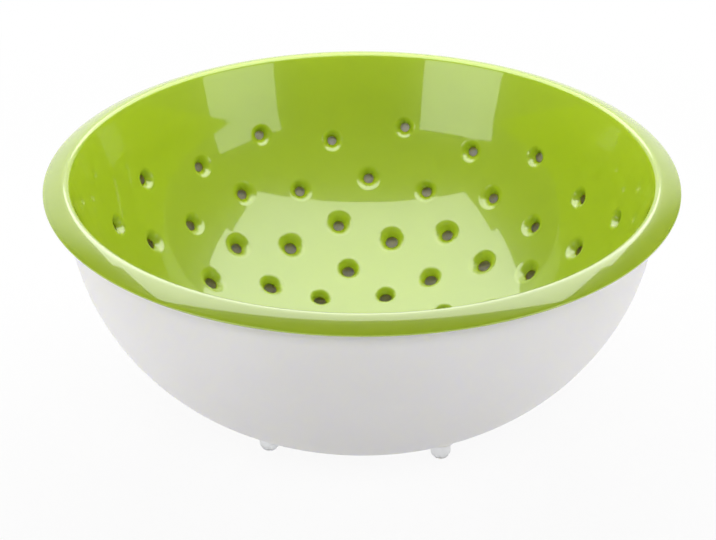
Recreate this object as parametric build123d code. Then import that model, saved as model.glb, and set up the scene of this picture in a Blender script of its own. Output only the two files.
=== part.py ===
"""Draining colander that sits in its own serving bowl, in millimetres, +Z up.

The origin is the middle of the ground between the four feet. The colander hangs in the bowl by
its turned-over rim and lifts straight out. Every other size follows from the named values below.
"""

import math
import os

from build123d import *
from build123d.topology import SkipClean

# Whole object
overall_diameter = 260.0
overall_height = 118.5

# Walls, the gap between the two floors, and the height of the bowl above the ground
colander_wall = 1.8
bowl_wall = 1.8
floor_gap = 12.45
ground_gap = 6.2

# Turned-over rim of the colander, from its crest out to the lip
rim_overhang = 9.0
rim_inner_round = 2.0
rim_crest_round = 7.0
rim_crest_turn = 15.0
rim_slope_round = 28.0
rim_seat_drop = 3.1
lip_round = 0.7
lip_underside_slope = 17.0

# Colander wall: the lean and length of its straight side, and how far its floor reaches
mouth_lean = 73.0
colander_side_length = 24.0
colander_floor_share = 0.255

# Bowl rim: a short flare and a flat flange that the colander rests on
rim_play = 1.0
flare_width = 2.25
flare_height = 7.4
flare_round = 9.0
flange_setback = 0.4
flange_thickness = 2.2
flange_edge_round = 0.5

# Bowl wall, upright at the mouth
bowl_floor_share = 0.285

# Drain holes. Rings lie at shares of the wall's length from its centre to its mouth, and each
# ring starts at a share of the pitch between its holes.
sector_count = 5
holes_in_sector = 2
ring_shares = (0.805, 0.766, 0.659, 0.634, 0.524, 0.477, 0.380, 0.292, 0.180)
ring_start_shares = (0.35, 0.85, 0.59, 0.13, 0.85, 0.35, 0.80, 0.28, 0.30)
bore_shares = (0.75, 0.75, 0.82, 0.82, 0.89, 1.00, 1.00, 0.93, 0.93)
centre_ring_share = 0.105
centre_bore_share = 0.93
centre_disc_diameter = 20.0
first_sector_angle = -5.1
bore_diameter = 5.6
funnel_width = 2.5
funnel_depth = 3.4
boss_end_width = 1.3
boss_spread = 0.5
boss_root_share = 0.6

# Feet, and the sockets under the bowl that hold their stems
foot_count = 4
first_foot_angle = 40.5
foot_circle_diameter = 102.8
foot_diameter = 8.6
foot_height = 8.6
foot_flat_diameter = 2.4
stem_diameter = 6.0
stem_length = 4.0
stem_lead = 0.5
socket_play = 0.1
socket_end_gap = 0.4
socket_wall = 2.9
foot_names = ("foot_back_right", "foot_back_left", "foot_front_left", "foot_front_right")

# One overrun for all cuts
overrun = 1.0


def polar(centre, radius, angle):
    """Point of a section at an angle in degrees, counted from straight up towards the rim."""
    turn = math.radians(angle)
    return (centre[0] + radius * math.sin(turn), centre[1] + radius * math.cos(turn))


def arc(centre, radius, start, end):
    """Arc of a section between two such angles."""
    middle = (start + end) / 2
    return ThreePointArc(
        polar(centre, radius, start), polar(centre, radius, middle), polar(centre, radius, end)
    )


def dished_wall(floor_height, mouth, lean, side_length, floor_share, outset=0):
    """Edges of a dished wall, from the axis out to a straight side that ends at the mouth.

    A floor arc and a corner arc meet smoothly. Where they meet follows from how far the floor
    arc's level tangent runs, as a share of the radius. An outset gives the wall's outer face.
    """
    turn = math.radians(lean)
    side = (math.cos(turn), math.sin(turn))
    side_start = (mouth[0] - side_length * side[0], mouth[1] - side_length * side[1])
    rise = side_start[1] - floor_height
    level_run = floor_share * side_start[0]
    corner_run = (side_start[0] ** 2 + rise**2 - 2 * level_run * side_start[0]) / (
        2 * (side_start[0] * side[0] + rise * side[1] + level_run * (1 - side[0]))
    )
    corner_foot = (side_start[0] - corner_run * side[0], side_start[1] - corner_run * side[1])
    joint = math.degrees(math.atan2(corner_foot[1] - floor_height, corner_foot[0] - level_run))
    floor_radius = level_run / math.tan(math.radians(joint) / 2)
    corner_radius = corner_run / math.tan((turn - math.radians(joint)) / 2)
    floor_centre = (0, floor_height + floor_radius)
    corner_centre = polar(side_start, corner_radius, -lean)
    edges = [
        arc(floor_centre, floor_radius + outset, 180, 180 - joint),
        arc(corner_centre, corner_radius + outset, 180 - joint, 180 - lean),
    ]
    if side_length > 0:
        edge_start = polar(side_start, outset, 180 - lean)
        edges.append(Line(edge_start, polar(mouth, outset, 180 - lean)))
    return edges


def turned(section, sweep=360):
    """Section turned about the axis into a solid."""
    return Rot(0, 0, first_sector_angle) * revolve(Plane.XZ * section, Axis.Z, sweep)


# Places of the colander's rim, from its inner round over the crest to the lip and the seat
crest_radius = overall_diameter / 2 - rim_overhang
round_centre = (crest_radius, overall_height - rim_inner_round)
crest_centre = (crest_radius, overall_height - rim_crest_round)
slope_centre = polar(crest_centre, rim_crest_round - rim_slope_round, rim_crest_turn)
slope_reach = rim_slope_round - lip_round
lip_run = overall_diameter / 2 - lip_round - slope_centre[0]
slope_end = math.degrees(math.asin(lip_run / slope_reach))
lip_centre = polar(slope_centre, slope_reach, slope_end)
lip_end = 180 + lip_underside_slope
lip_under = polar(lip_centre, lip_round, lip_end)
seat_height = overall_height - rim_seat_drop
seat_run = (seat_height - lip_under[1]) / math.tan(math.radians(lip_underside_slope))
seat_outer_radius = lip_under[0] - seat_run

# Places of the colander's wall
mouth_inside = polar(round_centre, rim_inner_round, -mouth_lean)
mouth_outside = polar(mouth_inside, colander_wall, 180 - mouth_lean)
side_run = (mouth_outside[1] - seat_height) / math.tan(math.radians(mouth_lean))
seat_inner_radius = mouth_outside[0] - side_run
bowl_floor_height = ground_gap + bowl_wall
colander_under_height = bowl_floor_height + floor_gap
colander_floor_height = colander_under_height + colander_wall
colander_dish = (
    colander_floor_height, mouth_inside, mouth_lean, colander_side_length, colander_floor_share
)
colander_inside = Wire(dished_wall(*colander_dish))


def colander_wall_section():
    """Dished wall of even thickness, from the axis to its mouth."""
    mouth_edge = Line(mouth_inside, mouth_outside)
    axis_edge = Line((0, colander_under_height), (0, colander_floor_height))
    inside = dished_wall(*colander_dish)
    outside = dished_wall(*colander_dish, colander_wall)
    return make_face([*inside, mouth_edge, *outside, axis_edge])


def rim_section():
    """Rim that rolls over the crest, slopes down to the lip and has a flat seat beneath."""
    seat_end = (seat_outer_radius, seat_height)
    seat_start = (mouth_inside[0], seat_height)
    return make_face(
        [
            arc(round_centre, rim_inner_round, -mouth_lean, 0),
            arc(crest_centre, rim_crest_round, 0, rim_crest_turn),
            arc(slope_centre, rim_slope_round, rim_crest_turn, slope_end),
            arc(lip_centre, lip_round, slope_end, lip_end),
            Polyline(lip_under, seat_end, seat_start, mouth_inside),
        ]
    )


def drain_spots():
    """Place, angle and bore radius of every drain hole in one sector."""
    sector = 360 / sector_count
    pitch = sector / holes_in_sector
    for wall_share, start_share, bore_share in zip(ring_shares, ring_start_shares, bore_shares):
        for index in range(holes_in_sector):
            angle = first_sector_angle + (start_share + index) * pitch
            yield wall_share, angle, bore_share * bore_diameter / 2
    middle = first_sector_angle + sector / 2
    yield centre_ring_share, middle, centre_bore_share * bore_diameter / 2


def on_wall(wall_share, angle):
    """Place on the inside of the colander wall, with its Z axis square to the wall and outwards."""
    point = colander_inside @ wall_share
    along = colander_inside % wall_share
    spot = Plane(origin=(point.X, 0, point.Y), x_dir=(0, 1, 0), z_dir=(along.Y, 0, -along.X))
    return Rot(0, 0, angle) * spot.location


def tapered(start, start_radius, end, end_radius):
    """Cone along Z between two heights."""
    height = end - start
    middle = Pos(0, 0, (start + end) / 2)
    return middle * Cone(start_radius, end_radius, height)


def boss_at(wall_share, angle, bore_radius):
    """Bump outside the wall that carries the lower part of a funnel."""
    base_radius = bore_radius + funnel_width + boss_spread
    end_radius = bore_radius + boss_end_width
    taper = (base_radius - end_radius) / (funnel_depth - colander_wall)
    start = colander_wall * boss_root_share
    start_radius = base_radius + taper * (colander_wall - start)
    return on_wall(wall_share, angle) * tapered(start, start_radius, funnel_depth, end_radius)


def funnel_at(wall_share, angle, bore_radius):
    """Funnel that narrows from its mouth inside the wall to the bore at the end of its boss."""
    taper = funnel_width / funnel_depth
    mouth_radius = bore_radius + funnel_width + taper * overrun
    tip_radius = bore_radius - taper * overrun
    cone = tapered(-overrun, mouth_radius, funnel_depth + overrun, tip_radius)
    return on_wall(wall_share, angle) * cone


def make_colander():
    """Colander with its rim, and a funnel and a boss at each drain hole.

    One sector is drilled, its copies go round the axis, and a plain disc closes the centre.
    """
    section = colander_wall_section() + rim_section()
    core = Rectangle(centre_disc_diameter, overall_diameter)
    spots = list(drain_spots())
    bosses = [boss_at(*spot) for spot in spots]
    funnels = [funnel_at(*spot) for spot in spots]
    sector = turned(section - core, 360 / sector_count) + bosses - funnels
    with SkipClean():
        colander = turned(section & core)
        for index in range(sector_count):
            colander = colander + Rot(0, 0, index * 360 / sector_count) * sector
    return colander


# Places of the bowl
rim_inner_radius = seat_inner_radius + rim_play
bowl_inner_radius = rim_inner_radius - flare_width
flare_start_height = seat_height - flare_height
flange_under_height = seat_height - flange_thickness
foot_circle_radius = foot_circle_diameter / 2
socket_radius = stem_diameter / 2 + socket_play


def bowl_section():
    """Bowl wall with its flare and the flat flange at its rim."""
    outer_round = flare_round - bowl_wall
    flare_centre = (bowl_inner_radius + flare_round, flare_start_height)
    outer_end = -math.degrees(math.acos((flange_under_height - flare_start_height) / outer_round))
    inner_end = -math.degrees(math.asin((flare_centre[0] - rim_inner_radius) / flare_round))
    flange_outer_radius = seat_outer_radius - flange_setback
    flange_width = flange_outer_radius - rim_inner_radius
    flange = FilletPolyline(
        polar(flare_centre, outer_round, outer_end),
        (flange_outer_radius, flange_under_height),
        (flange_outer_radius, seat_height),
        (rim_inner_radius, seat_height),
        polar(flare_centre, flare_round, inner_end),
        radius=min(flange_edge_round, flange_width / 4),
    )
    return make_face(
        [
            *bowl_face(bowl_wall),
            arc(flare_centre, outer_round, -90, outer_end),
            flange,
            arc(flare_centre, flare_round, -90, inner_end),
            *bowl_face(0),
            Line((0, ground_gap), (0, bowl_floor_height)),
        ]
    )


def bowl_face(outset):
    """Edges of the bowl wall's inner face, or of its outer face where outset by the wall."""
    mouth = (bowl_inner_radius, flare_start_height)
    return dished_wall(bowl_floor_height, mouth, 90, 0, bowl_floor_share, outset)


def around_feet():
    """Places of the feet on the ground."""
    for index in range(foot_count):
        angle = first_foot_angle + index * 360 / foot_count
        yield Rot(0, 0, angle) * Pos(foot_circle_radius, 0, 0)


def make_bowl():
    """Bowl with four blind sockets moulded under its floor."""
    above_floor = turned(
        make_face(
            [
                *bowl_face(0),
                Polyline(
                    (bowl_inner_radius, flare_start_height),
                    (0, flare_start_height),
                    (0, bowl_floor_height),
                ),
            ]
        )
    )
    boss = Pos(0, 0, foot_height) * Cylinder(
        socket_radius + socket_wall,
        flare_start_height - foot_height,
        align=(Align.CENTER, Align.CENTER, Align.MIN),
    )
    socket_depth = stem_length + socket_end_gap
    socket = Pos(0, 0, foot_height - overrun) * Cylinder(
        socket_radius, socket_depth + overrun, align=(Align.CENTER, Align.CENTER, Align.MIN)
    )
    bosses = [place * boss - above_floor for place in around_feet()]
    sockets = [place * socket for place in around_feet()]
    return turned(bowl_section()) + bosses - sockets


def make_foot():
    """Soft foot with a domed tip, a flat where it stands and a stem for its socket."""
    foot_radius = foot_diameter / 2
    flat_radius = foot_flat_diameter / 2
    stem_radius = stem_diameter / 2
    stem_top = foot_height + stem_length
    dome_height = math.sqrt(foot_radius**2 - flat_radius**2)
    flat_turn = 180 - math.degrees(math.asin(flat_radius / foot_radius))
    section = make_face(
        [
            arc((0, dome_height), foot_radius, flat_turn, 90),
            Polyline(
                (foot_radius, dome_height),
                (foot_radius, foot_height),
                (stem_radius, foot_height),
                (stem_radius, stem_top - stem_lead),
                (stem_radius - stem_lead, stem_top),
                (0, stem_top),
                (0, 0),
                (flat_radius, 0),
            ),
        ]
    )
    return revolve(Plane.XZ * section, Axis.Z, 360)


def write(shape, name):
    """Write one piece under its name."""
    export_step(shape, os.path.join("parts", name + ".step"))


os.makedirs("parts", exist_ok=True)
write(make_colander(), "colander")
write(make_bowl(), "bowl")
foot = make_foot()
for name, place in zip(foot_names, around_feet()):
    write(place * foot, name)
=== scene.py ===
# %% [markdown]
# # A colander that hangs in its own bowl
#
# Two smooth mouldings make this object: a lime green colander with funnel-shaped drain holes,
# and a white bowl on four small soft feet. In this lesson each one is turned like a pot, from a
# section drawn with lines and arcs. The holes are then opened in the green wall ring by ring.
#
# The engineering model is loaded first. It gives the sizes, and every new piece takes the place
# of one of its parts.

# %% Load the frame
import math

import bmesh
import bpy
from mathutils import Matrix, Vector
from mathutils.kdtree import KDTree


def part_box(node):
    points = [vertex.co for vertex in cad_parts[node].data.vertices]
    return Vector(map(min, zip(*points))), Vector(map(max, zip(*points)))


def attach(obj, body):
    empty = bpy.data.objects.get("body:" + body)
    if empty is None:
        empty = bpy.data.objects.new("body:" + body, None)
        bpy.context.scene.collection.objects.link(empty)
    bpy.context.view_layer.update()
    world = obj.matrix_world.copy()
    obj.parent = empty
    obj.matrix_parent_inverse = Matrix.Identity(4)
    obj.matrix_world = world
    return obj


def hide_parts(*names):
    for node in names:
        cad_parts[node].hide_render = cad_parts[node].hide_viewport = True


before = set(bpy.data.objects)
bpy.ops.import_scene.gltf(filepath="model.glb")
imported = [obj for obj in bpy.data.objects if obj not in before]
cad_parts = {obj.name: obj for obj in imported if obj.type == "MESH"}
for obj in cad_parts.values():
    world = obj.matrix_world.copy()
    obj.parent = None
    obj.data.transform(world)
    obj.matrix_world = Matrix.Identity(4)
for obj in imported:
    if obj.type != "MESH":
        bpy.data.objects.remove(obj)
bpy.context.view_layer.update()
mm = 0.001
colander_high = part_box("colander")[1]
bowl_low, bowl_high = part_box("bowl")
print("frame loaded with", len(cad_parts), "parts, in metres")

# %% [markdown]
# ## The camera
#
# A photographer stood in front of the object and looked down at about thirty degrees. The camera
# comes first, because it shows at once whether the shapes agree with the photograph. The photo is
# 716 pixels wide, and Blender's film is 36 mm wide by default, so the focal length in pixels
# turns into millimetres with one ratio.

# %% Place the camera
image_width, film_width, focal_pixels = 716, 36.0, 1777.1
camera_data = bpy.data.cameras.new("camera")
camera_data.sensor_width = film_width
camera_data.lens = focal_pixels * film_width / image_width
camera_data.clip_start = 0.05
camera = bpy.data.objects.new("camera", camera_data)
camera.location = (0.0, -0.6589, 0.4357)
camera.rotation_euler = (1.06266, 0.0, 0.00243)
bpy.context.scene.collection.objects.link(camera)
bpy.context.scene.camera = camera
print("lens", round(camera_data.lens, 2), "mm")

# %% [markdown]
# ## Drawing a section
#
# A turned piece is known by its section, the outline you would see if you sawed it in half.
# Three helpers draw it: one gives a point at an angle on a circle, one gives the points of an
# arc, and one those of a line. Angles are counted from straight up towards the rim, so 90
# degrees points outwards.


# %% Points, arcs and lines of a section
def polar(centre, radius, angle):
    """Point (r, z) at an angle in degrees from straight up towards the rim."""
    turn = math.radians(angle)
    return (centre[0] + radius * math.sin(turn), centre[1] + radius * math.cos(turn))


def arc_points(centre, radius, start, end, step):
    """Points along an arc, about one step apart, without the last one."""
    length = abs(math.radians(end - start)) * abs(radius)
    count = max(2, round(length / step))
    return [polar(centre, radius, start + (end - start) * i / count) for i in range(count)]


def line_points(start, end, step):
    """Points along a line, about one step apart, without the last one."""
    count = max(1, round(math.dist(start, end) / step))
    run, rise = end[0] - start[0], end[1] - start[1]
    return [(start[0] + run * i / count, start[1] + rise * i / count) for i in range(count)]


# %% [markdown]
# Both walls are dished the same way: a wide floor arc, a tighter corner arc, and on the colander
# a straight side up to the mouth. A small class keeps the two arcs and answers three questions:
# where is a point that lies some way along the wall, how much does the wall lean there, and how
# strongly does it bend. The drain holes need all three.


# %% A dished wall
class Dish:
    """Wall of two arcs and a straight side, from the axis out to its mouth."""

    def __init__(self, floor_height, mouth, lean, side_length, floor_share):
        turn = math.radians(lean)
        side = (math.cos(turn), math.sin(turn))
        start = (mouth[0] - side_length * side[0], mouth[1] - side_length * side[1])
        rise = start[1] - floor_height
        level_run = floor_share * start[0]
        corner_run = (start[0] ** 2 + rise**2 - 2 * level_run * start[0]) / (
            2 * (start[0] * side[0] + rise * side[1] + level_run * (1 - side[0]))
        )
        foot = (start[0] - corner_run * side[0], start[1] - corner_run * side[1])
        self.joint = math.degrees(math.atan2(foot[1] - floor_height, foot[0] - level_run))
        self.floor_radius = level_run / math.tan(math.radians(self.joint) / 2)
        self.corner_radius = corner_run / math.tan((turn - math.radians(self.joint)) / 2)
        self.floor_centre = (0.0, floor_height + self.floor_radius)
        self.corner_centre = polar(start, self.corner_radius, -lean)
        self.lean, self.start, self.mouth = lean, start, mouth
        self.floor_length = math.radians(self.joint) * self.floor_radius
        self.corner_length = math.radians(lean - self.joint) * self.corner_radius
        self.length = self.floor_length + self.corner_length + side_length

    def at(self, share):
        """Point, lean in degrees and bend radius at a share of the way to the mouth."""
        way = share * self.length
        if way < self.floor_length:
            lean = math.degrees(way / self.floor_radius)
            return polar(self.floor_centre, self.floor_radius, 180 - lean), lean, self.floor_radius
        lean = self.joint + math.degrees((way - self.floor_length) / self.corner_radius)
        return polar(self.corner_centre, self.corner_radius, 180 - lean), lean, self.corner_radius

    def points(self, outset, floor_rows, step):
        """Points from the axis to the mouth, as many on an outset face as on the inner one.

        The rows of the floor come in pairs: a step, and how far from the axis it is used.
        """
        joint, corner_end = 180 - self.joint, 180 - self.lean
        stretch, reached, points = 1 + outset / self.floor_radius, 180.0, []
        for floor_step, until in floor_rows:
            end = max(joint, 180 - math.degrees(until / self.floor_radius))
            radius = self.floor_radius + outset
            points += arc_points(self.floor_centre, radius, reached, end, floor_step * stretch)
            reached = end
        corner_step = step * (1 + outset / self.corner_radius)
        points += arc_points(
            self.corner_centre, self.corner_radius + outset, joint, corner_end, corner_step
        )
        start = polar(self.start, outset, corner_end)
        mouth = polar(self.mouth, outset, corner_end)
        return points + line_points(start, mouth, step) + [mouth]


# %% [markdown]
# The driving sizes come next, in millimetres. They are the same ones that the engineering model
# uses. The widest and highest points are read from the frame, so the new pieces cannot drift
# away from it.

# %% Sizes of the colander
wall = 1.8
overall_radius = min(colander_high.x, colander_high.y) / mm
overall_height = colander_high.z / mm
ground_gap = bowl_low.z / mm
seat_height = bowl_high.z / mm
floor_gap = 12.45
bowl_floor_height = ground_gap + wall
colander_floor_height = bowl_floor_height + floor_gap + wall

rim_overhang, rim_inner_round = 9.0, 2.0
crest_round, crest_turn, slope_round = 7.0, 15.0, 28.0
lip_round, lip_slope = 0.7, 17.0
mouth_lean, side_length, floor_share = 73.0, 24.0, 0.255
crest_radius = overall_radius - rim_overhang
round_centre = (crest_radius, overall_height - rim_inner_round)
mouth_inside = polar(round_centre, rim_inner_round, -mouth_lean)
colander_dish = Dish(colander_floor_height, mouth_inside, mouth_lean, side_length, floor_share)
print("colander wall is", round(colander_dish.length, 1), "mm from centre to mouth")

# %% [markdown]
# ## Turning the colander
#
# The green rim rolls over a crest and slopes down to a thin lip, with a flat seat beneath that
# rests on the bowl. Its section is made of four arcs that meet smoothly. Because the section
# follows the real thickness, the turned piece is a closed body and needs no Solidify modifier.
# The tighter an arc, the smaller the steps along it.

# %% The section of the rim
round_step, crest_step, slope_step, lip_step, seat_step = 0.45, 0.6, 0.9, 0.25, 1.5


def rim_section():
    """Points from the mouth over the crest and round the lip, back to the wall's outer face."""
    crest_centre = (crest_radius, overall_height - crest_round)
    slope_centre = polar(crest_centre, crest_round - slope_round, crest_turn)
    slope_reach = slope_round - lip_round
    slope_end = math.degrees(
        math.asin((overall_radius - lip_round - slope_centre[0]) / slope_reach)
    )
    lip_centre = polar(slope_centre, slope_reach, slope_end)
    lip_under = polar(lip_centre, lip_round, 180 + lip_slope)
    seat_run = (seat_height - lip_under[1]) / math.tan(math.radians(lip_slope))
    seat_end = (lip_under[0] - seat_run, seat_height)
    mouth_outside = polar(mouth_inside, wall, 180 - mouth_lean)
    side_run = (mouth_outside[1] - seat_height) / math.tan(math.radians(mouth_lean))
    seat_start = (mouth_outside[0] - side_run, seat_height)
    points = arc_points(round_centre, rim_inner_round, -mouth_lean, 0, round_step)
    points += arc_points(crest_centre, crest_round, 0, crest_turn, crest_step)
    points += arc_points(slope_centre, slope_round, crest_turn, slope_end, slope_step)
    points += arc_points(lip_centre, lip_round, slope_end, 180 + lip_slope, lip_step)
    points += line_points(lip_under, seat_end, seat_step)
    points += line_points(seat_end, seat_start, seat_step)
    return points, seat_start


rim, seat_start = rim_section()
print("the rim's section has", len(rim), "points")

# %% [markdown]
# `bmesh.ops.spin` is the potter's wheel. A few vertices joined by edges go round the axis, and
# the last step is merged with the first. Points that lie on the axis come out once per step, so
# doubles are merged after the turn, and the normals are worked out afresh.

# %% The potter's wheel
merge_distance = 0.002


def turned(section, steps, centre=(0.0, 0.0)):
    """A bmesh of the section turned about an upright axis, in metres, closed at its poles."""
    bm = bmesh.new()
    verts = [bm.verts.new((r * mm, 0.0, z * mm)) for r, z in section]
    edges = [bm.edges.new(pair) for pair in zip(verts, verts[1:])]
    bmesh.ops.spin(
        bm,
        geom=verts + edges,
        cent=(0.0, 0.0, 0.0),
        axis=(0.0, 0.0, 1.0),
        angle=math.tau,
        steps=steps,
        use_merge=True,
    )
    bmesh.ops.remove_doubles(bm, verts=bm.verts, dist=merge_distance * mm)
    bmesh.ops.recalc_face_normals(bm, faces=bm.faces)
    bmesh.ops.translate(bm, verts=bm.verts, vec=(centre[0] * mm, centre[1] * mm, 0.0))
    return bm


def piece_from(bm, name, body, nodes):
    """Turn a bmesh into a smooth piece that rides on a body and stands for CAD nodes."""
    for face in bm.faces:
        face.smooth = True
    mesh = bpy.data.meshes.new(name)
    bm.to_mesh(mesh)
    bm.free()
    piece = bpy.data.objects.new(name, mesh)
    bpy.context.scene.collection.objects.link(piece)
    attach(piece, body)
    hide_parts(*nodes)
    triangles = sum(len(polygon.vertices) - 2 for polygon in mesh.polygons)
    print(name, "has", triangles, "triangles")
    return piece


# %% [markdown]
# The colander's section goes up the inside, over the rim and back down the outside. Its points
# become rows of faces, and small faces are kept for the holes. The plain middle has wide rows.
# Then comes a band of very fine ones, because two rings of holes lie close together there.

# %% Turn the colander
colander_steps, side_step = 256, 2.3
floor_rows = ((3.6, 10.8), (1.45, 22.4), (0.45, 25.2), (1.3, math.inf))
inside = colander_dish.points(0, floor_rows, side_step)
outside = colander_dish.points(wall, floor_rows, side_step)[:-1]
colander_mesh = turned(inside[:-1] + rim + [seat_start] + outside[::-1], colander_steps)
print("turned colander has", len(colander_mesh.verts), "vertices")

# %% [markdown]
# ## The drain holes
#
# Each hole is a funnel. Its wide mouth is on the inside, and a small boss outside the wall
# carries the narrow bore. The holes lie on rings, in five equal sectors. A boolean cut would
# leave ragged shading on a curved wall, so the wall is opened by hand instead: faces are cleared
# around each hole, and the open edge is pulled inwards ring by ring. The new vertices follow the
# funnel's section exactly, and the shading stays smooth.
#
# First comes the pattern of the holes. Rings are placed by shares of the wall's length, and turned
# by shares of the pitch. Each ring has its own bore and its own spread, which says how far the
# mouth opens like a trumpet.

# %% The pattern of the drain holes
sector_count, holes_in_sector = 5, 2
first_sector_angle = -5.1
ring_shares = (0.805, 0.766, 0.659, 0.634, 0.524, 0.477, 0.380, 0.292, 0.180)
ring_start_shares = (0.35, 0.85, 0.59, 0.13, 0.85, 0.35, 0.80, 0.28, 0.30)
bore_shares = (0.75, 0.75, 0.82, 0.82, 0.89, 1.00, 1.00, 0.93, 0.93)
spread_shares = (0.75, 0.80, 0.90, 0.80, 0.98, 0.98, 0.78, 0.60, 0.60)
centre_ring_share, centre_bore_share, centre_spread_share = 0.105, 0.93, 0.60


def drain_holes():
    """Wall share, angle, bore share and spread of every hole."""
    sector = 360 / sector_count
    pitch = sector / holes_in_sector
    for first in range(sector_count):
        start = first_sector_angle + first * sector
        for share, start_share, *sizes in zip(
            ring_shares, ring_start_shares, bore_shares, spread_shares
        ):
            for index in range(holes_in_sector):
                yield share, start + (start_share + index) * pitch, *sizes
        yield centre_ring_share, start + sector / 2, centre_bore_share, centre_spread_share


print(len(list(drain_holes())), "holes in the pattern")

# %% [markdown]
# A hole knows its own little frame: a middle on the wall, and a direction square to the wall and
# outwards. Near the hole the wall curves away like a shallow cup, in two directions. With both
# radii known, a point at any distance and depth can be placed on it with one formula.
#
# Some holes are close neighbours. Half of the distance between them, less a strip of wall, is
# all the room that each may take, so its mouth and its boss are drawn in to fit.

# %% One hole and its frame
bore_diameter, funnel_width, funnel_depth = 5.6, 2.5, 3.4
lip_width, boss_foot_width = 2.0, 0.9
inner_side, outer_side = -1, 1
side_reach = {inner_side: funnel_width + lip_width, outer_side: funnel_width + boss_foot_width}
clear_margin, wall_strip = 0.3, 1.8


class Hole:
    """Frame of a drain hole, with the wall's two bend radii."""

    def __init__(self, share, angle, bore_share, spread):
        (r, z), lean, self.bend = colander_dish.at(share)
        if share * colander_dish.length > colander_dish.length - side_length:
            self.bend = math.inf
        turn, tilt = math.radians(angle), math.radians(lean)
        across = Vector((math.cos(turn), math.sin(turn), 0.0))
        up = Vector((0.0, 0.0, 1.0))
        self.middle = across * r + up * z
        self.outward = across * math.sin(tilt) - up * math.cos(tilt)
        self.uphill = across * math.cos(tilt) + up * math.sin(tilt)
        self.sideways = up.cross(across)
        self.hoop = r / math.sin(tilt)
        self.bore_radius = bore_share * bore_diameter / 2
        self.spread = {inner_side: spread, outer_side: 1.0}

    def make_room(self, room):
        """Draw the mouth and the boss in to the room that the next hole leaves."""
        for side, reach in side_reach.items():
            self.spread[side] = min(self.spread[side], (room - self.bore_radius) / reach)

    def clear_radius(self, side):
        """How far the wall is cleared round the hole on one side."""
        return self.bore_radius + side_reach[side] * self.spread[side] + clear_margin

    def place(self, co, radius, depth):
        """Where a vertex goes in the ring of this radius and depth, straight towards the axis."""
        way = co / mm - self.middle
        turn = math.atan2(way.dot(self.uphill), way.dot(self.sideways))
        bow = radius**2 * (
            math.sin(turn) ** 2 / (2 * self.bend) + math.cos(turn) ** 2 / (2 * self.hoop)
        )
        flat = self.sideways * math.cos(turn) + self.uphill * math.sin(turn)
        settle = min(1.0, max(0.0, (radius - self.bore_radius) / funnel_width))
        return (self.middle + flat * radius + self.outward * (depth - bow * settle)) * mm


holes = [Hole(*hole) for hole in drain_holes()]
for hole in holes:
    nearest = min((hole.middle - other.middle).length for other in holes if other is not hole)
    hole.make_room((nearest - wall_strip) / 2)
print(len(holes), "drain holes")

# %% [markdown]
# The funnel's section is a short list of corners, as distance from the bore and depth below the
# inner face. Moulded plastic has no sharp corner, so every corner is rounded with a small curve.
# The lip of the mouth gets a wide curve with one more point, which makes the trumpet shape.

# %% Rounded sections of the funnel and its boss
small_curve, wide_curve = (0.0, 0.5, 1.0), (0.0, 0.35, 0.7, 1.0)
lip_cut, bore_cut, boss_foot_cut, boss_end_cut = 1.9, 0.3, 0.35, 0.3
boss_end_width, boss_spread = 1.3, 0.5
bore_top, bore_bottom, bore_edge = funnel_depth - 0.7, funnel_depth - 0.25, 0.15


def rounded(corners, cuts):
    """Points of a line through corners, each inner corner rounded over its own cut."""
    points = [corners[0]]
    for before, corner, after, cut in zip(corners, corners[1:], corners[2:], cuts):
        toward = [c + (b - c) * cut / math.dist(before, corner) for b, c in zip(before, corner)]
        onward = [c + (a - c) * cut / math.dist(after, corner) for a, c in zip(after, corner)]
        for t in small_curve if cut < 1.0 else wide_curve:
            curve = [
                (1 - t) ** 2 * p + 2 * t * (1 - t) * c + t**2 * q
                for p, c, q in zip(toward, corner, onward)
            ]
            points.append(tuple(curve))
    return points + [corners[-1]]


funnel_section = rounded(
    [(side_reach[inner_side], 0.0), (funnel_width, 0.0), (0.0, bore_top), (0.0, bore_bottom)],
    [lip_cut, bore_cut],
)
boss_section = rounded(
    [
        (side_reach[outer_side], wall),
        (funnel_width + boss_spread, wall),
        (boss_end_width, funnel_depth),
        (bore_edge, funnel_depth),
    ],
    [boss_foot_cut, boss_end_cut],
)
print("funnel has", len(funnel_section), "rings, boss", len(boss_section))

# %% [markdown]
# Clearing comes next. The wall has an inner and an outer face only 1.8 mm apart, so each face is
# told from the other by the way it looks. The open edges are kept together with their hole.

# %% Clear the wall
facing = 0.3


def clear_wall(bm, side):
    """Delete the faces round each hole on one side, and return each open edge with its hole."""
    tree = KDTree(len(bm.verts))
    bm.verts.ensure_lookup_table()
    for vert in bm.verts:
        tree.insert(vert.co, vert.index)
    tree.balance()
    hole_of = {}
    for hole in holes:
        for _, index, _ in tree.find_range(hole.middle * mm, hole.clear_radius(side) * mm):
            for face in bm.verts[index].link_faces:
                if face.normal.dot(hole.outward) * side > facing:
                    hole_of[face] = hole
    edge_hole = {}
    for face, hole in hole_of.items():
        for edge in face.edges:
            if not all(other in hole_of for other in edge.link_faces):
                edge_hole[edge] = hole
    bmesh.ops.delete(bm, geom=list(hole_of), context="FACES_ONLY")
    lone = [v for v in bm.verts if not v.link_faces]
    bmesh.ops.delete(bm, geom=lone, context="VERTS")
    stray = [e for e in bm.edges if not e.link_faces]
    bmesh.ops.delete(bm, geom=stray, context="EDGES")
    return edge_hole


inner_open = clear_wall(colander_mesh, inner_side)
outer_open = clear_wall(colander_mesh, outer_side)
print("cleared, with", len(inner_open), "open edges inside and", len(outer_open), "outside")

# %% [markdown]
# Now the open edges are extruded once for every ring of the section. Each new vertex asks its
# hole where it belongs.


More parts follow.
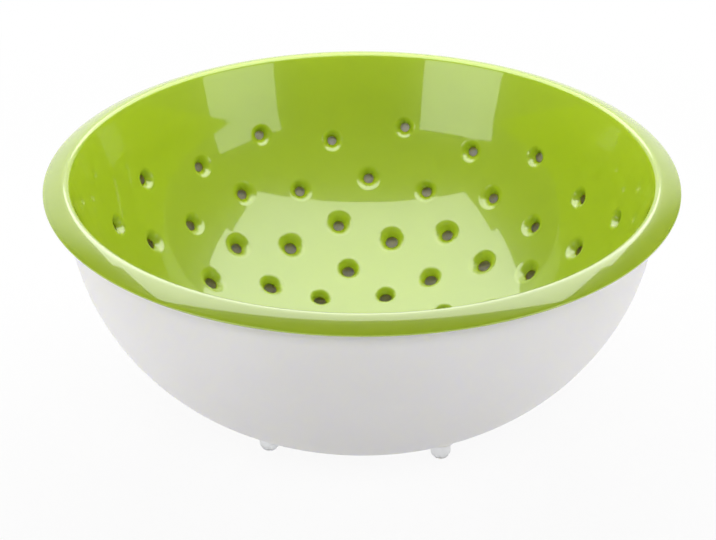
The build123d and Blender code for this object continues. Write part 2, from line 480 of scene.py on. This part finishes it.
# %% Pull the rings
def pull_rings(bm, edge_hole, section, side):
    """Extrude the open edges of all holes through the rings of a section, and return the last."""
    hole_of = {vert: hole for edge, hole in edge_hole.items() for vert in edge.verts}
    for width, depth in section:
        made = bmesh.ops.extrude_edge_only(bm, edges=list(edge_hole))["geom"]
        fresh = {item for item in made if isinstance(item, bmesh.types.BMVert)}
        for vert in fresh:
            old = next(e.other_vert(vert) for e in vert.link_edges if e.other_vert(vert) in hole_of)
            hole_of[vert] = hole_of[old]
        for vert in fresh:
            hole = hole_of[vert]
            reach = width * hole.spread[side]
            vert.co = hole.place(vert.co, hole.bore_radius + reach, depth)
        edge_hole = {
            item: hole_of[item.verts[0]]
            for item in made
            if isinstance(item, bmesh.types.BMEdge) and set(item.verts) <= fresh
        }
    return edge_hole


inner_edge = pull_rings(colander_mesh, inner_open, funnel_section, inner_side)
outer_edge = pull_rings(colander_mesh, outer_open, boss_section, outer_side)
print("last rings have", len(inner_edge), "and", len(outer_edge), "edges")

# %% [markdown]
# Both last rings end at the mouth of the bore, a hair apart. `bridge_loops` joins the nearest
# rings in pairs, and the colander is one closed body again.

# %% Close the bores
bmesh.ops.bridge_loops(colander_mesh, edges=[*inner_edge, *outer_edge], use_pairs=True)
bmesh.ops.recalc_face_normals(colander_mesh, faces=colander_mesh.faces)
open_edges = sum(not edge.is_manifold for edge in colander_mesh.edges)
print("open edges left:", open_edges, "volume", round(colander_mesh.calc_volume() * 1e6, 1), "ml")
colander = piece_from(
    colander_mesh, "colander_moulding", "colander", ["colander"]
)

# %% [markdown]
# ## The bowl
#
# The white bowl is upright at its mouth, flares out a little under the rim and ends in a flat
# flange that carries the colander. It is turned from one section, like the colander.

# %% Turn the bowl
rim_play, flare_width, flare_height, flare_round = 1.0, 2.25, 7.4, 9.0
flange_thickness, flange_round = 2.2, 0.5
bowl_lean, bowl_side_length, bowl_floor_share = 90.0, 0.0, 0.285
bowl_steps, bowl_step, flare_step, flange_step = 256, 3.0, 0.8, 0.2
bowl_rows = ((bowl_step, math.inf),)
rim_inner_radius = seat_start[0] + rim_play
bowl_inner_radius = rim_inner_radius - flare_width
flare_start = seat_height - flare_height
flare_centre = (bowl_inner_radius + flare_round, flare_start)
flange_outer_radius = bowl_high.x / mm
bowl_mouth = (bowl_inner_radius, flare_start)
bowl_dish = Dish(bowl_floor_height, bowl_mouth, bowl_lean, bowl_side_length, bowl_floor_share)


def bowl_section():
    """Points from the inner floor over the flange and back under the bowl."""
    outer_round = flare_round - wall
    under = seat_height - flange_thickness
    outer_end = -math.degrees(math.acos((under - flare_start) / outer_round))
    inner_end = -math.degrees(math.asin((flare_centre[0] - rim_inner_radius) / flare_round))
    low_corner = (flange_outer_radius - flange_round, under + flange_round)
    high_corner = (flange_outer_radius - flange_round, seat_height - flange_round)
    inner_corner = (rim_inner_radius + flange_round, seat_height - flange_round)
    points = bowl_dish.points(0, bowl_rows, bowl_step)[:-1]
    points += arc_points(flare_centre, flare_round, -90, inner_end, flare_step)
    points += arc_points(inner_corner, flange_round, -90, 0, flange_step)
    points += arc_points(high_corner, flange_round, 0, 90, flange_step)
    points += arc_points(low_corner, flange_round, 90, 180, flange_step)
    points += arc_points(flare_centre, outer_round, outer_end, -90, flare_step)
    return points + bowl_dish.points(wall, bowl_rows, bowl_step)[::-1]


bowl_mesh = turned(bowl_section(), bowl_steps)
print("turned bowl has", len(bowl_mesh.verts), "vertices")

# %% [markdown]
# Four short sockets under the bowl hold the feet. Each is a small turned cup that stands upside
# down. Its top ring is lowered into the sloping floor of the bowl, vertex by vertex, so it looks
# moulded in one piece with it.

# %% Sockets under the bowl
foot_count, first_foot_angle, foot_circle_radius = 4, 40.5, 51.4
foot_radius, foot_height, foot_flat_radius = 4.3, 8.6, 1.2
stem_radius, stem_length, stem_lead = 3.0, 4.0, 0.5
socket_radius, socket_gap, socket_wall, socket_edge = 3.1, 0.4, 2.9, 0.3
socket_steps, socket_bevel, sharp_angle = 48, 0.15, 40


def foot_places():
    """Centre of each foot on the ground, going round."""
    for index in range(foot_count):
        turn = math.radians(first_foot_angle + index * 360 / foot_count)
        yield foot_circle_radius * math.cos(turn), foot_circle_radius * math.sin(turn)


def under_floor(x, y):
    """Height of the middle of the bowl's wall above a place."""
    outset = wall / 2
    reach = math.hypot(x, y)
    centre, radius = bowl_dish.floor_centre, bowl_dish.floor_radius + outset
    if reach > radius * math.sin(math.radians(bowl_dish.joint)):
        centre, radius = bowl_dish.corner_centre, bowl_dish.corner_radius + outset
    return centre[1] - math.sqrt(radius**2 - (reach - centre[0]) ** 2)


def add_socket(x, y):
    """Add one socket to the bowl."""
    boss_radius = socket_radius + socket_wall
    socket_top = foot_height + stem_length + socket_gap
    high = socket_top + 2 * socket_wall
    edge_height = foot_height + socket_edge
    section = [(0.0, socket_top), (socket_radius, socket_top), (socket_radius, edge_height)]
    section += [(socket_radius + socket_edge, foot_height)]
    section += [(boss_radius - socket_edge, foot_height), (boss_radius, edge_height)]
    section += [(boss_radius, high), (0.0, high)]
    bm = turned(section, socket_steps, (x, y))
    for vert in bm.verts:
        if vert.co.z > (high - socket_edge) * mm:
            vert.co.z = under_floor(vert.co.x / mm, vert.co.y / mm) * mm
    sharp = [e for e in bm.edges if e.calc_face_angle(0.0) > math.radians(sharp_angle)]
    bmesh.ops.bevel(
        bm,
        geom=sharp,
        offset=socket_bevel * mm,
        segments=2,
        profile=0.5,
        affect="EDGES",
        material=-1,
    )
    cup = bpy.data.meshes.new("socket")
    bm.to_mesh(cup)
    bm.free()
    bowl_mesh.from_mesh(cup)
    bpy.data.meshes.remove(cup)


for place in foot_places():
    add_socket(*place)
bowl = piece_from(bowl_mesh, "bowl_moulding", "bowl", ["bowl"])

# %% [markdown]
# ## The feet
#
# Four soft pegs keep the bowl from sliding. Each has a domed tip with a small flat where it
# stands, and a stem that goes up into its socket.

# %% Turn the feet
foot_steps, dome_step, foot_edge = 56, 0.35, 0.25
dome_height = math.sqrt(foot_radius**2 - foot_flat_radius**2)
flat_turn = 180 - math.degrees(math.asin(foot_flat_radius / foot_radius))
stem_top = foot_height + stem_length
foot_section = [(0.0, 0.0)]
foot_section += arc_points((0.0, dome_height), foot_radius, flat_turn, 90, dome_step)
foot_section += [(foot_radius, dome_height), (foot_radius, foot_height - foot_edge)]
foot_section += [(foot_radius - foot_edge, foot_height), (stem_radius, foot_height)]
foot_section += [(stem_radius, stem_top - stem_lead), (stem_radius - stem_lead, stem_top)]
foot_section += [(0.0, stem_top)]
foot_names = ("foot_back_right", "foot_back_left", "foot_front_left", "foot_front_right")
feet = []
for name, place in zip(foot_names, foot_places()):
    foot_mesh = turned(foot_section, foot_steps, place)
    soft_name = name.replace("foot", "soft_foot")
    feet.append(piece_from(foot_mesh, soft_name, "bowl", [name]))

# %% [markdown]
# ## Shader maths as sums
#
# A finish is easier to read as a formula than as a web of links. The class below wraps the
# output of a node. Sums on it add Math nodes, and one method adds any other node, with its
# settings first and the values or links of its sockets after.


# %% A socket that can be added and multiplied
class Shade:
    """The output of a node, written in sums like a number."""

    def __init__(self, tree, socket=None):
        self.tree, self.socket = tree, socket

    def node(self, kind, settings, inputs, output=0):
        """Add a node and return one of its outputs."""
        made = self.tree.nodes.new(kind)
        for name, setting in settings.items():
            setattr(made, name, setting)
        for name, given in inputs.items():
            if isinstance(given, Shade):
                self.tree.links.new(given.socket, made.inputs[name])
            else:
                made.inputs[name].default_value = given
        return Shade(self.tree, made.outputs[output] if made.outputs else None)

    def maths(self, operation, first, second):
        """A Math node with two inputs."""
        return self.node("ShaderNodeMath", {"operation": operation}, {0: first, 1: second})

    def __add__(self, other):
        return self.maths("ADD", self, other)

    def __sub__(self, other):
        return self.maths("SUBTRACT", self, other)

    def __rsub__(self, other):
        return self.maths("SUBTRACT", other, self)

    def __mul__(self, other):
        return self.maths("MULTIPLY", self, other)

    __radd__ = __add__
    __rmul__ = __mul__

    def most(self, other):
        """The larger of two values."""
        return self.maths("MAXIMUM", self, other)

    def between(self, low, high):
        """0 below low, 1 above high, and a smooth step between."""
        limits = {"From Min": low, "From Max": high}
        settings = {"interpolation_type": "SMOOTHSTEP"}
        return self.node("ShaderNodeMapRange", settings, {"Value": self} | limits)

    def noise(self, where, scale, detail=2.0, roughness=0.5):
        """A cloudy pattern between 0 and 1, with its scale in patches per metre."""
        values = {"Vector": where, "Scale": scale, "Detail": detail, "Roughness": roughness}
        return self.node("ShaderNodeTexNoise", {}, values)

    def mix(self, first, second):
        """A colour between two others, by this share."""
        inputs = {0: self, 6: first, 7: second}
        return self.node("ShaderNodeMix", {"data_type": "RGBA"}, inputs, 2)


# %% [markdown]
# Three more helpers start and end a material. Colours are read off the photo as a paint program
# shows them, and have to be turned into amounts of light. Patterns follow the Object
# coordinates, so they stay on a piece when it moves.

# %% Colours and surfaces
object_place = 3
bump_distance = 0.1


def linear(red, green, blue):
    """A colour as a paint program shows it, from 0 to 255, in the light that shaders add up."""
    def one(channel):
        share = channel / 255
        return share / 12.92 if share <= 0.04045 else ((share + 0.055) / 1.055) ** 2.4

    return (one(red), one(green), one(blue), 1.0)


def new_finish(name):
    """An empty material, its shader helper and the place of a point on the piece."""
    material = bpy.data.materials.new(name)
    material.use_nodes = True
    material.node_tree.nodes.clear()
    shade = Shade(material.node_tree)
    place = shade.node("ShaderNodeTexCoord", {}, {}, object_place)
    return material, shade, place


def finish_surface(shade, fixed, painted, height, bump):
    """Join a Principled surface: fixed numbers, painted sockets and a bump, to the output."""
    bumps = {"Height": height, "Strength": bump, "Distance": bump_distance * mm}
    normal = shade.node("ShaderNodeBump", {}, bumps)
    values = fixed | painted | {"Normal": normal}
    surface = shade.node("ShaderNodeBsdfPrincipled", {}, values)
    shade.node("ShaderNodeOutputMaterial", {}, {"Surface": surface})


white = linear(255, 255, 255)
print("white is", white)

# %% [markdown]
# ## Glossy green plastic
#
# The colander is moulded in one colour with a polished surface. Up close it is not quite even:
# the pigment drifts a little where the plastic flowed, the polish carries faint wipe marks, and
# a slow ripple bends the reflections. The ripple is a bump of a few micrometres. The wall is
# thin, and some light passes through the plastic, so the mouths of the holes are never black.


# %% Colander finish
def green_plastic():
    """Polished lime green plastic that glows a little in strong light."""
    material, shade, place = new_finish("green_plastic")
    flow = shade.noise(place, scale=16.0, detail=3.0)
    speck = shade.noise(place, scale=900.0, roughness=0.6)
    tone = flow.between(0.3, 0.7) * 0.7 + speck * 0.3
    colour = tone.mix(linear(155, 179, 27), linear(161, 184, 31))
    stretched = shade.node("ShaderNodeMapping", {}, {"Vector": place, "Scale": (1.0, 6.0, 2.0)})
    wipes = shade.noise(stretched, scale=60.0, detail=4.0)
    polish = 0.28 + 0.05 * wipes.between(0.35, 0.75) + 0.02 * speck
    ripple = shade.noise(place, scale=70.0, detail=1.0) + 0.15 * shade.noise(place, scale=420.0)
    fixed = {
        "IOR": 1.58,
        "Coat Weight": 1.0,
        "Coat IOR": 1.7,
        "Coat Roughness": 0.04,
        "Subsurface Weight": 0.6,
        "Subsurface Radius": (1.0, 1.0, 0.3),
        "Subsurface Scale": 3.0 * mm,
    }
    finish_surface(shade, fixed, {"Base Color": colour, "Roughness": polish}, ripple, bump=0.25)
    return material


colander.data.materials.append(green_plastic())
print(colander.name, "is", colander.data.materials[0].name)

# %% [markdown]
# ## Satin white plastic
#
# The bowl has a softer sheen: its mould was lightly textured. A fine grain in the bump and a
# slightly uneven roughness give that look. The white is a touch warm, never pure white, so that
# light can still shape it. This plastic lets light through too, which brightens the gap between
# the two walls and gives the bores their olive tone.


# %% Bowl finish
def white_plastic():
    """Satin white plastic with a fine grain."""
    material, shade, place = new_finish("white_plastic")
    flow = shade.noise(place, scale=12.0, detail=3.0)
    grain = shade.noise(place, scale=2600.0, roughness=0.6)
    tone = flow.between(0.3, 0.7) * 0.8 + grain * 0.2
    colour = tone.mix(linear(233, 231, 229), linear(238, 236, 235))
    sheen = 0.4 + 0.08 * flow.between(0.35, 0.7) + 0.04 * grain
    texture = grain + 0.5 * shade.noise(place, scale=60.0, detail=1.0)
    fixed = {
        "IOR": 1.48,
        "Specular IOR Level": 0.4,
        "Subsurface Weight": 0.45,
        "Subsurface Radius": (1.0, 0.95, 0.25),
        "Subsurface Scale": 3.0 * mm,
    }
    finish_surface(shade, fixed, {"Base Color": colour, "Roughness": sheen}, texture, bump=0.12)
    return material


bowl.data.materials.append(white_plastic())
print(bowl.name, "is", bowl.data.materials[0].name)

# %% [markdown]
# ## Clear soft rubber
#
# The feet let light through, like frosted silicone. Most of the light passes, scattered by a
# rough surface, and a pale tint keeps them visible on white.


# %% Foot finish
def clear_rubber():
    """Frosted clear rubber."""
    material, shade, place = new_finish("clear_rubber")
    cloud = shade.noise(place, scale=300.0, detail=3.0)
    colour = cloud.mix(linear(236, 237, 238), linear(247, 248, 249))
    frost = 0.28 + 0.12 * cloud
    fixed = {"IOR": 1.41, "Transmission Weight": 0.75}
    finish_surface(shade, fixed, {"Base Color": colour, "Roughness": frost}, cloud, bump=0.15)
    return material


foot_material = clear_rubber()
for foot in feet:
    foot.data.materials.append(foot_material)
print(len(feet), "feet are", foot_material.name)

# %% [markdown]
# ## The floor
#
# The photo was taken on a white sweep. Only rays from the camera, from a reflection or through
# clear rubber see the floor glow white; all others see pale paper, so the light that it throws
# back stays soft. A tenth of the paper also shows close to the bowl, and that keeps the object's
# shadow on the floor.

# %% Floor
floor_size, paper_share, shadow_near, shadow_far = 4.0, 0.1, 0.12, 0.5


def ray_kinds(shade):
    """1 for a ray of each kind: from the camera, from a gloss, and through a clear thing."""
    camera_ray, glossy_ray, transmission_ray = 0, 3, 6
    outputs = (camera_ray, glossy_ray, transmission_ray)
    return [shade.node("ShaderNodeLightPath", {}, {}, output) for output in outputs]


def floor_finish():
    """White paper that glows where it is seen, and more so away from the bowl."""
    material, shade, place = new_finish("white_sweep")
    paper = shade.node("ShaderNodeBsdfDiffuse", {}, {"Color": linear(240, 240, 240)})
    glow = shade.node("ShaderNodeEmission", {}, {"Color": white, "Strength": 1.0})
    camera_sees, gloss_sees, clear_sees = ray_kinds(shade)
    seen = camera_sees.most(gloss_sees).most(clear_sees)
    away = shade.node("ShaderNodeVectorMath", {"operation": "LENGTH"}, {0: place}, 1)
    share = (1.0 - paper_share) + paper_share * away.between(shadow_near, shadow_far)
    shown = shade.node("ShaderNodeMixShader", {}, {0: seen * share, 1: paper, 2: glow})
    shade.node("ShaderNodeOutputMaterial", {}, {"Surface": shown})
    return material


floor_mesh = bmesh.new()
bmesh.ops.create_grid(floor_mesh, x_segments=1, y_segments=1, size=floor_size)
floor_data = bpy.data.meshes.new("floor")
floor_mesh.to_mesh(floor_data)
floor_mesh.free()
floor_data.materials.append(floor_finish())
floor = bpy.data.objects.new("floor", floor_data)
bpy.context.scene.collection.objects.link(floor)
print("floor reaches", floor_size, "m from the middle")

# %% [markdown]
# ## The background
#
# The camera sees a white background. As a light it is dim, except for a low white wall behind
# the object, which brightens the back of the rim. Reflections show that wall and nothing else of
# the background, so the green stays deep where no lamp is mirrored.

# %% Background
wall_turn, wall_edges, wall_top = 0.15, (0.62, 0.87), (0.55, 0.75)
dim_level, wall_level = 0.1, 0.36
world = bpy.data.worlds.new("studio")
bpy.context.scene.world = world
world.use_nodes = True
world.node_tree.nodes.clear()
sky = Shade(world.node_tree)
towards = sky.node("ShaderNodeTexCoord", {}, {}, 0)
right, back, up = [sky.node("ShaderNodeSeparateXYZ", {}, {0: towards}, axis) for axis in range(3)]
behind = (back - wall_turn * right).between(*wall_edges)
low = 1.0 - up.between(*wall_top)
camera_sees, gloss_sees, clear_sees = ray_kinds(sky)
seen = camera_sees.most(clear_sees).most(gloss_sees * behind * low)
level = (dim_level + wall_level * behind * low) * (1.0 - seen) + seen
background = sky.node("ShaderNodeBackground", {}, {"Color": white, "Strength": level})
sky.node("ShaderNodeOutputWorld", {}, {"Surface": background})
print("background has", len(world.node_tree.nodes), "nodes")

# %% [markdown]
# ## The lamps
#
# An area lamp points along its own -Z axis. It is set up by its place, its target and its size,
# so the numbers can be read as a plan of the studio.
#
# A wide softbox hangs close above and shows as the pale patch on the colander's floor. A second,
# narrower one continues it to the front and rounds the patch off on the near rim. Two upright
# softboxes stand in front, left and right, and show in the back wall like windows. Three fills
# light the rest and show in no reflection. No lamp shows to the camera.


# %% Softboxes
def softbox(name, place, target, size, power, roll=0.0, mirrored=True):
    """A rectangular lamp at a place, turned to a target. A fill shows in no reflection."""
    lamp = bpy.data.lights.new(name, "AREA")
    lamp.shape = "RECTANGLE"
    lamp.size, lamp.size_y = size
    lamp.energy = power
    box = bpy.data.objects.new(name, lamp)
    aim = (Vector(target) - Vector(place)).to_track_quat("-Z", "Y")
    turn = aim.to_matrix().to_4x4() @ Matrix.Rotation(math.radians(roll), 4, "Z")
    box.matrix_world = Matrix.Translation(place) @ turn
    box.visible_camera = False
    box.visible_glossy = mirrored
    bpy.context.scene.collection.objects.link(box)
    return box


colander_rim, bowl_side = (0.0, 0.0, 0.1), (0.0, 0.0, 0.05)
lamps = [
    softbox("overhead_box", (0.0, 0.2175, 0.305), (0.0, 0.2175, 0.0), (0.43, 0.275), power=0.94),
    softbox("overhead_front", (0.0, 0.015, 0.305), (0.0, 0.015, 0.0), (0.39, 0.13), power=0.4),
    softbox("front_right_box", (1.05, -0.76, 0.34), colander_rim, (0.74, 0.36), power=1.3),
    softbox("front_left_box", (-0.9, -0.935, 0.34), colander_rim, (0.8, 0.36), 1.75, roll=8.5),
    softbox("right_fill", (1.25, 0.1, 0.25), bowl_side, (1.0, 0.5), power=6.9, mirrored=False),
    softbox("left_fill", (-1.25, 0.1, 0.25), bowl_side, (1.0, 0.5), power=7.3, mirrored=False),
    softbox("high_fill", (0.0, -1.1, 0.9), bowl_side, (1.2, 0.5), power=7.0, mirrored=False),
]
bpy.context.scene.view_settings.view_transform = "Standard"
print(len(lamps), "lamps")
